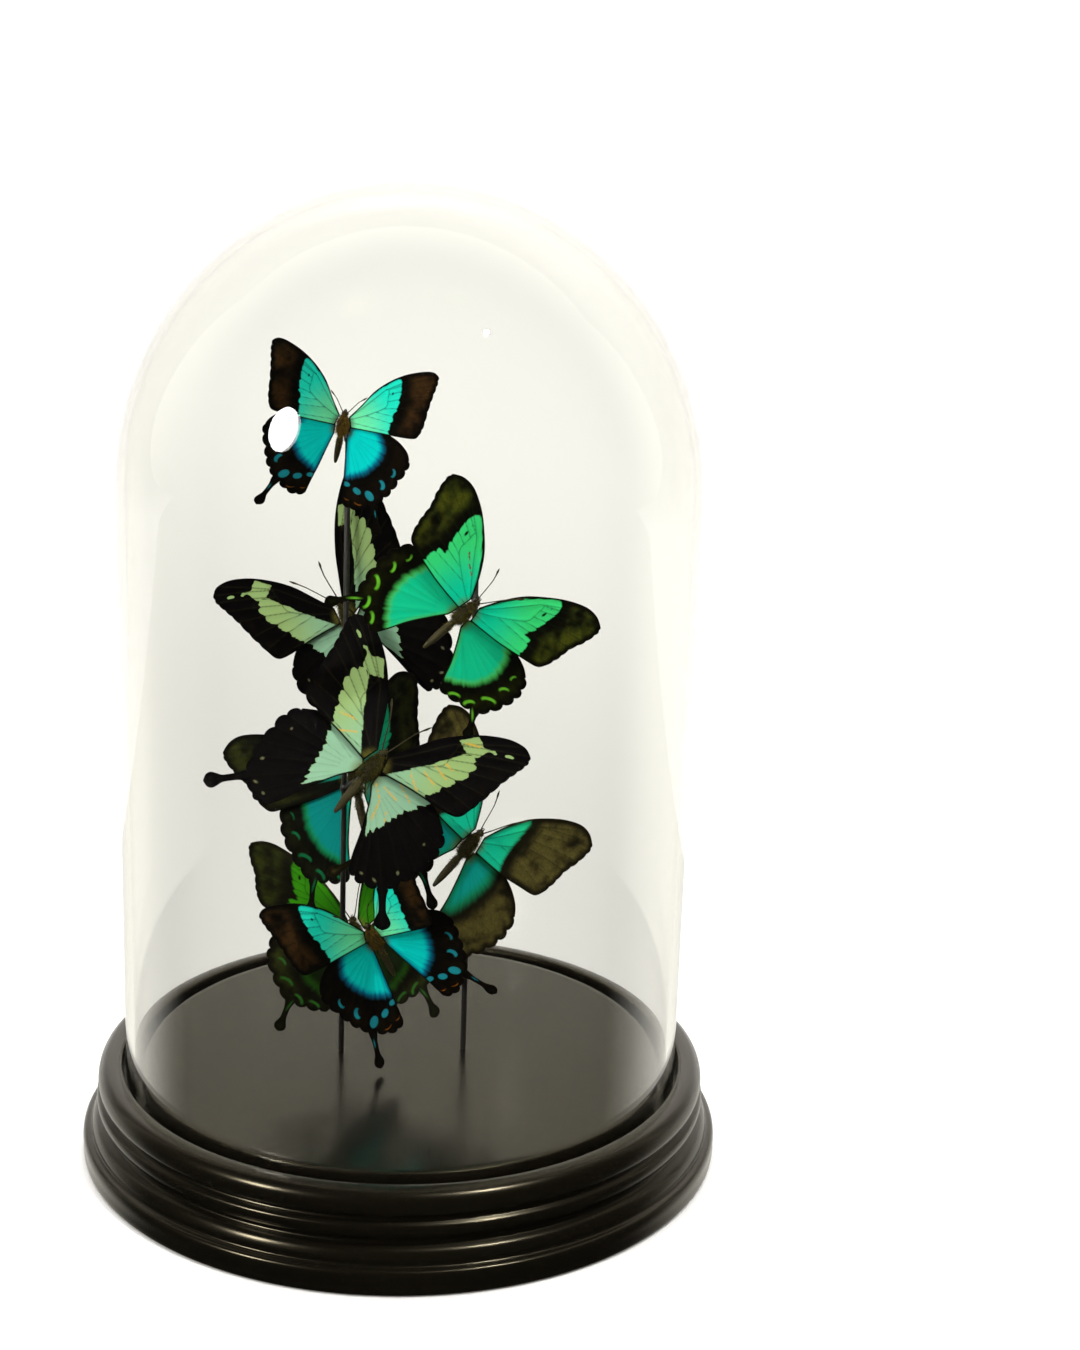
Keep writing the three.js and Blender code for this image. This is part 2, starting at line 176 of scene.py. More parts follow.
# Bright patches: closed outlines on the same axes. Small marks are moons: centre, half length,
# half width, turn in degrees, and how much of the oval is bitten away to leave a crescent. The
# scallop is how far, in mm, a patch's outer edge draws back where it meets a vein.
TURQUOISE_MARKS = {
    "fore": [[(0.3, 1.6), (6, 7.2), (14, 14.7), (21, 19.7), (28.4, 23.6), (29.2, 22.4),
              (28.3, 17.6), (27, 12.6), (25.6, 9), (23.8, 6.4), (22.9, 3.4), (21.2, 0.4),
              (20.4, -3), (20.2, -6.4), (10, -5.8), (0.3, -3.6)]],
    "hind": [[(0.3, 2), (6, 6.4), (13.8, 7), (17.2, 4.6), (19.6, 1.6), (20.4, -2.6), (19.4, -8.4),
              (15.8, -15.8), (11.2, -20.4), (7, -22.8), (5, -19), (2.2, -9), (0.3, -2.6)]],
    "moons": [(28, -8.6, 2.2, 1.3, 100, 0.5), (25, -17, 2.4, 1.7, 120, 0.3),
              (21.4, -25.4, 2.7, 2, 150, 0), (14.9, -26.4, 2.1, 1.6, 170, 0),
              (9, -25.6, 1.8, 1.2, 190, 0), (27.4, -32.6, 1.7, 0.4, -62, 0)],
    "nicks": [(24.2, 16.4, 0.8, 0.45, 60, 0), (21.2, 18, 0.6, 0.3, 20, 0),
              (14.7, 11.7, 0.4, 0.3, 0, 0)],
    "orange": [(17.6, -32.2, 2.1, 0.9, 10, 0.62), (11.6, -32.6, 1.5, 0.8, 0, 0.6)],
    "scallop": 0.5,
}
GREEN_MARKS = {
    "fore": [[(0.3, 1.8), (6, 8.4), (13, 15.2), (20.5, 19.9), (27, 22.9), (28.6, 20.4), (28.1, 17),
              (27.2, 13.4), (25.6, 9.8), (24.6, 7), (22.6, 4.4), (25.4, 4), (26.2, 1.2),
              (25.8, -1.6), (24.6, -6), (12, -6), (0.3, -3.6)]],
    "hind": [[(0.3, 1.6), (6, 6), (14, 7.4), (18.6, 5), (21, 1.6), (22.3, -3.6), (22.3, -10.4),
              (20, -17), (16.2, -22), (11, -25.3), (7.7, -25.9), (6.2, -19.5), (3.2, -9.6),
              (0.3, -2.4)]],
    "moons": [(27.6, -4.4, 1.5, 0.8, 255, 0.5), (28, -11.6, 2.1, 1.2, 228, 0.5),
              (26.4, -20.2, 2.9, 1.5, 212, 0.5), (21.8, -27.4, 2.5, 1.4, 238, 0.5),
              (15.8, -29, 2.4, 1.3, 215, 0.5), (25.6, -30.6, 2.6, 0.45, -56, 0)],
    "nicks": [(24.4, 15.2, 1.2, 0.55, 70, 0), (25.6, 18.6, 0.5, 0.25, 20, 0)],
    "scallop": 0.6,
}
TEAL_MARKS = {
    **GREEN_MARKS,
    "fore": [[(0.3, 1.8), (6, 8.4), (13, 15.2), (20.5, 19.9), (27, 22.9), (28.6, 20.4), (28.1, 17),
              (27.2, 13.4), (25.6, 9.8), (24.6, 7), (20, 4), (12, 1.6), (3, 0.6)]],
    "scallop": 0.5,
}
OLIVE_TIP_MARKS = {
    "fore": [[(0.3, 1.8), (6, 8.4), (11, 13.4), (15.8, 17.4), (15.6, 13), (14.8, 9), (14, 4.6),
              (14, 0.6), (14.8, -5.8), (8, -6), (0.3, -3.6)]],
    "hind": [[(0.3, 1.6), (5, 4.8), (11, 5.4), (13.6, 1.6), (14.2, -4), (13.4, -12), (12, -19),
              (9, -21.4), (6.2, -17.6), (3.2, -9.6), (0.3, -2.4)]],
    "moons": [(27.4, -13.4, 1.4, 0.6, 100, 0.6), (25.4, -22.4, 1.6, 0.7, 115, 0.6)],
    "scallop": 0.4,
}
BANDED_MARKS = {
    "fore": [[(25.4, 16.2), (28.4, 16.9), (31.4, 15.6), (31.3, 11.8), (28.7, 7.8), (25.3, 4),
              (20.4, -1.2), (17.4, -6), (2, -6), (2.6, -2.4), (9.6, 3), (17.8, 9.6)],
             [(22.1, 19.9), (25.4, 22), (28.4, 23.7), (31.6, 21.5), (35.4, 22.7), (36.4, 21.2),
              (33.2, 20.7), (31.3, 17.9), (27.4, 17.2), (24.3, 18.2)],
             [(39.3, 23), (41.4, 23.8), (43, 23.2), (42.7, 22.3), (40, 22)]],
    "hind": [[(0.8, 1.4), (8, 6.4), (19.6, 7), (18.8, 2.6), (15.4, -2.8), (13, -9.4), (10.6, -15.6),
              (9, -19.8), (6.2, -13.4), (2.9, -6)]],
    "moons": [(26.4, -7.6, 0.5, 0.35, 90, 0), (24.8, -21.6, 0.7, 0.45, 120, 0),
              (20, -28.6, 0.8, 0.4, 160, 0), (15.3, -29.4, 0.6, 0.4, 180, 0)],
    "scallop": 1.3,
}
# Veins run from the wing's root and the forewing's closed cell out to the margins.
FORE_CELL = [(1, 1.6), (7, 3.6), (13.6, 6.2), (20.2, 9.6), (21.6, 14), (22, 18.4), (14, 12.4),
             (7, 7), (1, 2.8)]
FORE_VEIN_STARTS = [(22, 18.4), (22, 18), (21.8, 15.6), (21, 12.2), (18.4, 8.6), (14.6, 6.6),
                    (9.4, 4.4)]

# sRGB colours of each kind: the bright patch from the root outwards and on the hindwing, its fading
# rim, the dark ground and its dusting, the small marks, the veins and the rubbed streaks. Then how
# softly fore- and hindwing patches fade (mm), how strongly the veins show, and the hindwing's share
# of the dusting.
KINDS = {
    "turquoise": {
        "shape": TURQUOISE_SHAPE, "marks": TURQUOISE_MARKS, "slot": "turquoise_wing",
        "near": "#7afab8", "far": "#22f0d0", "hind": "#02e6dc", "rim": "#04709a", "dark": "#0c0905",
        "dust": "#3e2a12", "moon": "#1f8c98", "soft": (0.25, 1.8), "vein": "#0e1810", "veins": 0.55,
        "hind_dust": 0.15, "worn": "#5a4630",
    },
    "green": {
        "shape": GREEN_SHAPE, "marks": GREEN_MARKS, "slot": "green_wing",
        "near": "#06d0a0", "far": "#3ade7c", "hind": "#10cc94", "rim": "#4cc458", "dark": "#0b0a04",
        "dust": "#454a0e", "moon": "#68c02c", "soft": (0.3, 1.6), "vein": "#0c2410", "veins": 0.5,
        "hind_dust": 0.2, "worn": "#6a4a3a",
    },
    "teal": {
        "shape": GREEN_SHAPE, "marks": TEAL_MARKS, "slot": "green_wing",
        "near": "#0a7a6a", "far": "#0a7a54", "hind": "#067e78", "rim": "#0f8048", "dark": "#090803",
        "dust": "#2a2c0c", "moon": "#0c5a34", "soft": (0.5, 1.8), "vein": "#0a1c14", "veins": 0.4,
        "hind_dust": 0.3, "worn": "#6a4a3a",
    },
    "olive_tip": {
        "shape": GREEN_SHAPE, "marks": OLIVE_TIP_MARKS, "slot": "green_wing",
        "near": "#12c89c", "far": "#24d08c", "hind": "#0ca496", "rim": "#129260", "dark": "#1a160a",
        "dust": "#5a5228", "moon": "#3a3a1c", "soft": (1.0, 2.6), "vein": "#12200e", "veins": 0.5,
        "hind_dust": 1, "worn": "#6a4a3a",
    },
    "olive": {
        "shape": GREEN_SHAPE, "marks": GREEN_MARKS, "slot": "olive_wing",
        "near": "#286c06", "far": "#30800a", "hind": "#0e1804", "rim": "#1c420a", "dark": "#0e0d05",
        "dust": "#2c300a", "moon": "#24501a", "soft": (0.5, 2.2), "vein": "#0c1404", "veins": 0.5,
        "hind_dust": 0.7, "worn": "#6a4a3a",
    },
    "banded": {
        "shape": BANDED_SHAPE, "marks": BANDED_MARKS, "slot": "banded_wing",
        "near": "#80a884", "far": "#8aa466", "hind": "#80a88a", "rim": "#82a266", "dark": "#030202",
        "dust": "#0a0603", "moon": "#6c6c4c", "soft": (0.12, 0.12), "vein": "#1c1a0c", "veins": 0.6,
        "hind_dust": 0.3, "worn": "#c49a3c",
    },
}
ROOT_HAIRS = "#5a5420"
ORANGE_SPOT = "#8a5210"
UNDERSIDE = "#2c2412"
# What is written at each point of a wing for its scales, mostly as distances in millimetres
WING_FIELDS = (
    "fore", "under", "bright", "vein", "edge", "reach", "ray", "moons", "nicks", "orange", "worn")
# Streaks where scales are rubbed away or dusted with pollen, on a right wing's axes
WORN = {
    "right_green_left_forewing": [[(17.1, 12.3), (13.4, 10), (9, 8.4)]],
    "centre_banded_right_forewing": [
        [(21, 10.7), (24.3, 9.8)], [(15.2, 4.9), (20.5, 2.5)], [(17.8, 8.4), (23.4, 6.2)],
        [(10.4, 2.8), (15.8, -2.2)], [(24.6, 20), (30.2, 21.2)]],
    "centre_banded_right_hindwing": [
        [(5.1, 0.1), (10.7, -1.1)], [(2.3, -0.8), (6.3, -4.8), (7.9, -12.3)],
        [(10.2, -6.4), (11.6, -9.6)], [(8.2, 4.6), (15, 1.2)]],
    "centre_banded_left_forewing": [[(15, 4.2), (20.6, 1.8)], [(11, 1.8), (15.4, -2.4)]],
}
# Each butterfly: the middle of its thorax, its heading, climb and bank in degrees, and its size.
# Then, for the left and right wings, the lift, the hindwing's drop and the forward swings in
# degrees, and the stretch of the forewings and the hindwings. Last, its peg's stem and height.
Butterfly = namedtuple(
    "Butterfly", "name kind thorax turned size lift drop fore_swing hind_swing stretch peg")
BUTTERFLIES = [Butterfly(*row) for row in (
    ("top_turquoise", "turquoise", (-20.1, -15, 238.2), (-149, 67, 151), 0.65, (18, 21), (2, 3),
     (15, 17), (-2, -8), (0.95, 0.99, 1.01, 0.98), ("left", 232)),
    ("right_green", "green", (17.3, -19, 182.9), (-75, 40, 95), 0.793, (0, 2), (3, 3),
     (6, 16), (9, 8), (0.99, 1.01, 1.03, 1.19), ("right", 180)),
    ("left_banded", "banded", (-19.7, 8, 172.8), (64, 56, -100), 0.933, (8, -4), (2, 9),
     (4, 19), (-1, 0), (0.97, 0.98, 1.01, 1), ("left", 172)),
    ("centre_banded", "banded", (-9.1, -31, 136.6), (-42, 36, 39), 0.911, (2, -10), (1, 2),
     (15, 13), (10, 3), (0.92, 0.93, 0.98, 1.03), ("left", 120)),
    ("middle_teal", "teal", (-17.8, 14, 116.6), (43, 71, -74), 0.897, (12, 13), (1, 24),
     (-7, 12), (-3, -14), (1, 1, 0.98, 1), ("left", 116)),
    ("lower_right_green", "olive_tip", (20.2, -3.5, 102.5), (-54, 40, 72), 0.862, (-3, -8), (2, 1),
     (7, 12), (0, -5), (0.92, 0.93, 1, 1.07), ("right", 99)),
    ("front_turquoise", "turquoise", (-8.5, -15, 74.3), (110, 63, -113), 0.757, (43, 29), (1, 17),
     (16, 14), (-8, 6), (0.96, 0.95, 0.94, 1.03), ("left", 69)),
    ("lower_left_olive", "olive", (-17.3, 15, 63.2), (17, 34, -17), 0.87, (28, 31), (4, 8),
     (22, 18), (7, -7), (0.98, 0.94, 0.97, 0.96), ("left", 66)),
)]


def linear(hex_colour):
    """An sRGB hex colour as the linear colour that a shader takes."""
    channels = [int(hex_colour[i:i + 2], 16) / 255 for i in (1, 3, 5)]
    return (*(c / 12.92 if c <= 0.04045 else ((c + 0.055) / 1.055) ** 2.4 for c in channels), 1)


def add(tree, kind, inputs=None, out=0, **settings):
    """Adds a node with its settings and links, and gives back one of its outputs."""
    made = tree.nodes.new("ShaderNode" + kind)
    for name, value in settings.items():
        setattr(made, name, value)
    for name, value in (inputs or {}).items():
        if isinstance(value, bpy.types.NodeSocket):
            tree.links.new(value, made.inputs[name])
        else:
            made.inputs[name].default_value = value
    return made.outputs[out] if made.outputs else None


COLOURS = {"data_type": "RGBA", "out": 2}
TIMES = {"operation": "MULTIPLY"}
SMOOTH = {"interpolation_type": "SMOOTHSTEP"}


def new_material(name):
    material = bpy.data.materials.new(name)
    material.use_nodes = True
    material.node_tree.nodes.clear()
    return material, material.node_tree


def lacquered_wood():
    """Turned hardwood under satin black lacquer: no grain, soft broad highlights, a little dust."""
    material, tree = new_material("satin_black_lacquered_wood")
    place = add(tree, "TexCoord", out="Object")
    cloud = add(tree, "TexNoise", {"Vector": place, "Scale": 0.02 / MM})
    speckle = add(tree, "TexNoise", {"Vector": place, "Scale": 0.9 / MM, "Detail": 3})
    dust = add(tree, "MapRange", {
        "Value": speckle, "From Min": 0.6, "From Max": 0.76, "To Max": 0.05}, **SMOOTH)
    colour = add(tree, "Mix", {0: cloud, 6: linear("#060504"), 7: linear("#0d0b06")}, **COLOURS)
    colour = add(tree, "Mix", {0: dust, 6: colour, 7: linear("#6a6454")}, **COLOURS)
    rough = add(tree, "MapRange", {"Value": cloud, "To Min": 0.18, "To Max": 0.27})
    shader = add(tree, "BsdfPrincipled", {
        "Base Color": colour, "Roughness": rough, "IOR": 1.48, "Specular Tint": linear("#ffefc8")})
    add(tree, "OutputMaterial", {"Surface": shader})
    return material


def dome_glass():
    """Blown soda-lime glass: smooth and polished, very slightly warm grey through two walls."""
    material, tree = new_material("blown_soda_lime_glass")
    shader = add(tree, "BsdfPrincipled", {
        "Base Color": linear("#fafaf7"), "Roughness": 0, "IOR": 1.5, "Transmission Weight": 1})
    add(tree, "OutputMaterial", {"Surface": shader})
    return material


def black_rod():
    """Black painted steel rod with a thin uneven coat."""
    material, tree = new_material("black_painted_steel_rod")
    place = add(tree, "TexCoord", out="Object")
    coat = add(tree, "TexNoise", {"Vector": place, "Scale": 0.7 / MM})
    colour = add(tree, "Mix", {0: coat, 6: linear("#0d0b08"), 7: linear("#1d1912")}, **COLOURS)
    rough = add(tree, "MapRange", {"Value": coat, "To Min": 0.35, "To Max": 0.55})
    bump = add(tree, "Bump", {"Strength": 0.3, "Distance": 0.05 * MM, "Height": coat})
    shader = add(tree, "BsdfPrincipled", {"Base Color": colour, "Roughness": rough, "Normal": bump})
    add(tree, "OutputMaterial", {"Surface": shader})
    return material


def chitin():
    """Dried insect cuticle under its fur: brown, dull, finely pitted."""
    material, tree = new_material("dried_insect_cuticle")
    place = add(tree, "TexCoord", out="Object")
    pits = add(tree, "TexNoise", {"Vector": place, "Scale": 1.5 / MM})
    colour = add(tree, "Mix", {0: pits, 6: linear("#1c1806"), 7: linear("#3c3410")}, **COLOURS)
    bump = add(tree, "Bump", {"Strength": 0.5, "Distance": 0.08 * MM, "Height": pits})
    shader = add(tree, "BsdfPrincipled", {
        "Base Color": colour, "Roughness": 0.6, "Normal": bump, "Specular IOR Level": 0.25})
    add(tree, "OutputMaterial", {"Surface": shader})
    return material


def fur(name, dark, light):
    """Body hairs: each hair has a shade of its own."""
    material, tree = new_material(name)
    shade = add(tree, "Attribute", out="Fac", attribute_name="shade")
    colour = add(tree, "Mix", {0: shade, 6: linear(dark), 7: linear(light)}, **COLOURS)
    shader = add(tree, "BsdfPrincipled", {
        "Base Color": colour, "Roughness": 0.75, "Specular IOR Level": 0.2})
    add(tree, "OutputMaterial", {"Surface": shader})
    return material


def compound_eye():
    """Dried compound eye: nearly black with a soft gloss, in tiny facets."""
    material, tree = new_material("dried_compound_eye")
    place = add(tree, "TexCoord", out="Object")
    facets = add(tree, "TexVoronoi", {"Vector": place, "Scale": 7 / MM})
    colour = add(tree, "Mix", {0: facets, 6: linear("#0a0705"), 7: linear("#2a1a10")}, **COLOURS)
    shader = add(tree, "BsdfPrincipled", {"Base Color": colour, "Roughness": 0.25})
    add(tree, "OutputMaterial", {"Surface": shader})
    return material


def bright_patch(tree, kind, at, rays):
    """The bright patch's colour and its share of the scales: ragged along their rows, sharp on the
    forewing and soft on the hindwing."""
    wobble = add(tree, "MapRange", {"Value": rays, "To Min": -0.9, "To Max": 0.9})
    ragged = add(tree, "Math", {0: at["bright"], 1: wobble}, operation="ADD")
    blur = add(tree, "Mix", {0: at["fore"], 2: kind["soft"][1], 3: kind["soft"][0]})
    share = add(tree, "Math", {0: ragged, 1: blur}, operation="DIVIDE")
    glow = add(tree, "MapRange", {"Value": share, "From Min": -1, "From Max": 1}, **SMOOTH)
    fading = add(tree, "MapRange", {"Value": share, "From Min": 1.9, "From Max": 0.1}, **SMOOTH)
    far = add(tree, "MapRange", {"Value": at["reach"], "From Min": 6, "From Max": 26}, **SMOOTH)
    patch = add(tree, "Mix", {0: far, 6: linear(kind["near"]), 7: linear(kind["far"])}, **COLOURS)
    patch = add(tree, "Mix", {0: at["fore"], 6: linear(kind["hind"]), 7: patch}, **COLOURS)
    rim = add(tree, "MapRange", {"Value": at["fore"], "To Min": 0.95, "To Max": 0.15})
    rim = add(tree, "Math", {0: rim, 1: fading}, **TIMES)
    patch = add(tree, "Mix", {0: rim, 6: patch, 7: linear(kind["rim"])}, **COLOURS)
    streak = add(tree, "MapRange", {
        "Value": rays, "From Min": 0.5, "From Max": 0.72, "To Max": 0.12}, **SMOOTH)
    return add(tree, "Mix", {0: streak, 6: patch, 7: linear(kind["rim"])}, **COLOURS), glow


def dusted_ground(tree, kind, at, place, specks):
    """The dark ground, dusted with paler scales away from the patch and the margins."""
    cloud = add(tree, "TexNoise", {"Vector": place, "Scale": 0.16 / MM})
    share = add(tree, "MapRange", {"Value": at["fore"], "To Min": kind["hind_dust"], "To Max": 1})
    for value, none, full, fade in (
            (at["bright"], -2.5, -8, SMOOTH), (at["edge"], 0.7, 3, SMOOTH),
            (cloud, 0.3, 0.62, SMOOTH), (specks, -0.5, 0.7, {})):
        more = add(tree, "MapRange", {"Value": value, "From Min": none, "From Max": full}, **fade)
        share = add(tree, "Math", {0: share, 1: more}, **TIMES)
    return add(tree, "Mix", {0: share, 6: linear(kind["dark"]), 7: linear(kind["dust"])}, **COLOURS)


def marked(tree, kind, at, colour, specks):
    """Over the scales: hairs at the root, small marks, veins, rubbed streaks, the dark hem, and the
    brown of the underside."""
    root = add(tree, "MapRange", {
        "Value": at["reach"], "From Min": 5, "From Max": 0.8, "To Max": 0.75}, **SMOOTH)
    strong = add(tree, "MapRange", {
        "Value": at["fore"], "To Min": 0.4 * kind["veins"], "To Max": kind["veins"]})
    line = add(tree, "MapRange", {
        "Value": at["vein"], "From Min": 0.42, "From Max": 0.06, "To Max": strong}, **SMOOTH)
    moons, orange, nicks, rubbed, hem = (
        add(tree, "MapRange", {"Value": at[name], "From Min": none, "From Max": full}, **SMOOTH)
        for name, none, full in (("moons", -0.3, 0.35), ("orange", -0.1, 0.3),
                                 ("nicks", -0.15, 0.2), ("worn", 0.6, 0.15), ("edge", 0.8, 0.3)))
    broken = add(tree, "MapRange", {"Value": specks, "From Min": 0.34, "From Max": 0.56}, **SMOOTH)
    rubbed = add(tree, "Math", {0: rubbed, 1: broken}, **TIMES)
    below = add(tree, "Math", {0: at["under"], 1: 0.82}, **TIMES)
    for share, hue in (
            (root, ROOT_HAIRS), (moons, kind["moon"]), (orange, ORANGE_SPOT), (nicks, kind["dark"]),
            (line, kind["vein"]), (rubbed, kind["worn"]), (hem, kind["dark"]), (below, UNDERSIDE)):
        colour = add(tree, "Mix", {0: share, 6: colour, 7: linear(hue)}, **COLOURS)
    return colour


def wing_scales(kind_name, kind):
    """Dusty overlapping scales on a thin membrane: bright structural colour in the middle, a dark
    ground with paler dusting towards the tips, thin dark veins, and next to no gloss."""
    material, tree = new_material(kind_name + "_wing_scales")
    place = add(tree, "TexCoord", out="Object")
    at = {name: add(tree, "Attribute", out="Fac", attribute_name=name) for name in WING_FIELDS}
    outwards = add(tree, "Math", {0: at["reach"], 1: 0.12}, **TIMES)
    along = add(tree, "CombineXYZ", {"X": at["ray"], "Y": outwards})
    rays = add(tree, "TexNoise", {"Vector": along, "Scale": 1.1, "Detail": 3})
    specks = add(tree, "TexNoise", {"Vector": place, "Scale": 1.4 / MM, "Detail": 1})
    patch, glow = bright_patch(tree, kind, at, rays)
    ground = dusted_ground(tree, kind, at, place, specks)
    colour = add(tree, "Mix", {0: glow, 6: ground, 7: patch}, **COLOURS)
    colour = marked(tree, kind, at, colour, specks)
    height = add(tree, "Math", {0: rays, 1: specks}, operation="ADD")
    bump = add(tree, "Bump", {"Strength": 0.3, "Distance": 0.08 * MM, "Height": height})
    shader = add(tree, "BsdfPrincipled", {
        "Base Color": colour, "Roughness": 0.55, "Normal": bump, "IOR": 1.4,
        "Specular IOR Level": 0.03})
    add(tree, "OutputMaterial", {"Surface": shader})
    return material


def object_of(bm, name, materials):
    """A bmesh in millimetres as a smooth object in metres, with its place in its mesh."""
    bmesh.ops.scale(bm, vec=(MM, MM, MM), verts=bm.verts)
    for face in bm.faces:
        face.smooth = True
    mesh = bpy.data.meshes.new(name)
    bm.to_mesh(mesh)
    bm.free()
    for material in materials:
        mesh.materials.append(material)
    made = bpy.data.objects.new(name, mesh)
    bpy.context.scene.collection.objects.link(made)
    return made


def finish_piece(bm, name, materials, nodes):
    """A finished piece, which rides on the part and stands for its nodes."""
    piece = object_of(bm, name, materials)
    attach(piece, "root")
    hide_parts(*nodes)
    return piece


def spun(profile, steps, axis=(0, 0, 1)):
    """A profile of (radius, height) points spun once round the axis."""
    bm = bmesh.new()
    upright = axis[2] > 0
    verts = [bm.verts.new((r, 0, h) if upright else (r, h, 0)) for r, h in profile]
    edges = [bm.edges.new(pair) for pair in zip(verts, verts[1:])]
    bmesh.ops.spin(bm, geom=verts + edges, cent=(0, 0, 0), axis=axis, steps=steps,
                   angle=2 * math.pi, use_merge=True)
    bmesh.ops.remove_doubles(bm, verts=bm.verts, dist=1e-4)
    bmesh.ops.recalc_face_normals(bm, faces=bm.faces)
    return bm


def catmull(points, t):
    """A point at share t of a smooth curve that passes evenly through the points."""
    last = len(points) - 1
    place = t * last
    i = min(int(place), last - 1)
    w = place - i
    a, b, c, d = (np.array(points[min(max(j, 0), last)], float) for j in (i - 1, i, i + 1, i + 2))
    v0, v1 = (c - a) / 2, (d - b) / 2
    return (2 * b - 2 * c + v0 + v1) * w ** 3 + (3 * c - 3 * b - 2 * v0 - v1) * w ** 2 + v0 * w + b


def smooth(points, per_span):
    """Samples of a smooth curve through the points, without its last point."""
    count = (len(points) - 1) * per_span
    return [tuple(catmull(points, i / count)) for i in range(count)]


def lobed(points, lobes, per_lobe, height):
    """Round lobes that stand out to the left of the way along the curve, notched between veins."""
    outline = []
    for i in range(lobes * per_lobe):
        t = i / (lobes * per_lobe)
        way = catmull(points, min(t + 1e-3, 1)) - catmull(points, max(t - 1e-3, 0))
        way /= np.linalg.norm(way)
        out = height * (math.sin(math.pi * (i % per_lobe) / per_lobe) ** 0.7 - 0.5)
        outline.append(tuple(catmull(points, t) + out * np.array((-way[1], way[0]))))
    return outline


def tail_outline(start, end, stalk, club):
    """A hindwing's tail: flared where it leaves the wing, a narrow stalk, and a spoon's end."""
    start, end = np.array(start), np.array(end)
    along = end - start
    side = np.array((-along[1], along[0])) / np.linalg.norm(along)
    half = [(0.06, stalk * 1.7), (0.22, stalk * 1.12), (0.42, stalk), (0.58, stalk * 1.08),
            (0.7, club * 0.74), (0.82, club * 0.96), (0.93, club * 0.72), (1.0, 0.0)]
    run = smooth(half, 4)
    out = [tuple(start + t * along + w * side) for t, w in run]
    back = [tuple(start + t * along - w * side) for t, w in run[::-1]]
    return out + [tuple(end)] + back


def fore_outline(shape):
    return (smooth(shape["costa"], 8) + lobed(shape["outer"], 8, 6, FORE_LOBE_HEIGHT)
            + smooth(shape["trailing"], 8) + [shape["trailing"][-1]])


def hind_outline(shape):
    return (smooth(shape["leading"], 6) + lobed(shape["margin"], 5, 8, LOBE_HEIGHT)
            + tail_outline(**shape["tail"]) + lobed(shape["anal"], 3, 8, LOBE_HEIGHT)
            + smooth(shape["inner"], 6) + [shape["inner"][-1]])


def line_distance(points, line):
    """Distance from each point to an open line of points."""
    a = np.array(line[:-1], float)
    b = np.array(line[1:], float)
    ab = b - a
    ap = points[:, None, :] - a[None]
    t = np.clip((ap * ab).sum(-1) / (ab * ab).sum(-1), 0, 1)
    return np.linalg.norm(ap - t[..., None] * ab, axis=-1).min(1)


def inside_distance(points, loop):
    """Distance from each point to a closed outline, positive inside it."""
    ring = list(loop) + [loop[0]]
    distance = line_distance(points, ring)
    x, y = points[:, 0:1], points[:, 1:2]
    a, b = np.array(ring[:-1]), np.array(ring[1:])
    crosses = (a[:, 1] > y) != (b[:, 1] > y)
    with np.errstate(divide="ignore", invalid="ignore"):
        at = a[:, 0] + (y - a[:, 1]) * (b[:, 0] - a[:, 0]) / (b[:, 1] - a[:, 1])
    inside = (crosses & (x < at)).sum(1) % 2 == 1
    return np.where(inside, distance, -distance)


def moon_distance(points, moons):
    """Distance into the nearest of a set of small ovals, some with a bite taken out."""
    best = np.full(len(points), -FAR_AWAY)
    for x, y, long, wide, turn, bite in moons:
        c, s = math.cos(math.radians(turn)), math.sin(math.radians(turn))
        u = (points[:, 0] - x) * c + (points[:, 1] - y) * s
        v = -(points[:, 0] - x) * s + (points[:, 1] - y) * c
        oval = (1 - np.hypot(u / long, v / wide)) * wide
        if bite:
            bitten = (np.hypot(u / (long * 0.95), (v - wide * (1.4 - bite)) / wide) - 1) * wide
            oval = np.minimum(oval, bitten)
        best = np.maximum(best, oval)
    return best


def fore_veins(shape):
    ends = [shape["costa"][-2], *shape["outer"]]
    lines = [smooth([s, tuple((np.array(s) + np.array(e)) / 2 + (0.4, 0.5)), e], 6) + [e]
             for s, e in zip(FORE_VEIN_STARTS, ends)]
    return lines + [smooth(FORE_CELL, 4), smooth([(1, 0.4), (16, -1.6), shape["trailing"][1]], 6)]


def hind_veins(shape):
    ends = [shape["leading"][4], *shape["margin"][1:5], shape["tail"]["end"], *shape["anal"][1:]]
    root = np.array((0.5, -0.2))
    ways = [np.array(end) - root for end in ends]
    return [[tuple(root + 0.2 * way), tuple(root + 0.6 * way + (0.7, 0.3)), end]
            for way, end in zip(ways, ends)]


def cut_sheet(outline):
    """A flat wing cut from its outline and sliced both ways, so that it has points all over."""
    bm = bmesh.new()
    bm.faces.new([bm.verts.new((x, y, 0)) for x, y in outline])
    xs, ys = zip(*outline)
    for axis, low, high in ((0, min(xs), max(xs)), (1, min(ys), max(ys))):
        normal = (1, 0, 0) if axis == 0 else (0, 1, 0)
        for i in range(1, int((high - low) / SHEET_STEP) + 1):
            place = [0, 0, 0]
            place[axis] = low + i * SHEET_STEP
            bmesh.ops.bisect_plane(bm, geom=bm.verts[:] + bm.edges[:] + bm.faces[:], dist=1e-4,
                                   plane_co=place, plane_no=normal)
    bmesh.ops.triangulate(bm, faces=[f for f in bm.faces if len(f.verts) > 4])
    bmesh.ops.recalc_face_normals(bm, faces=bm.faces)
    if sum(f.normal.z for f in bm.faces) < 0:
        bmesh.ops.reverse_faces(bm, faces=bm.faces)
    return bm


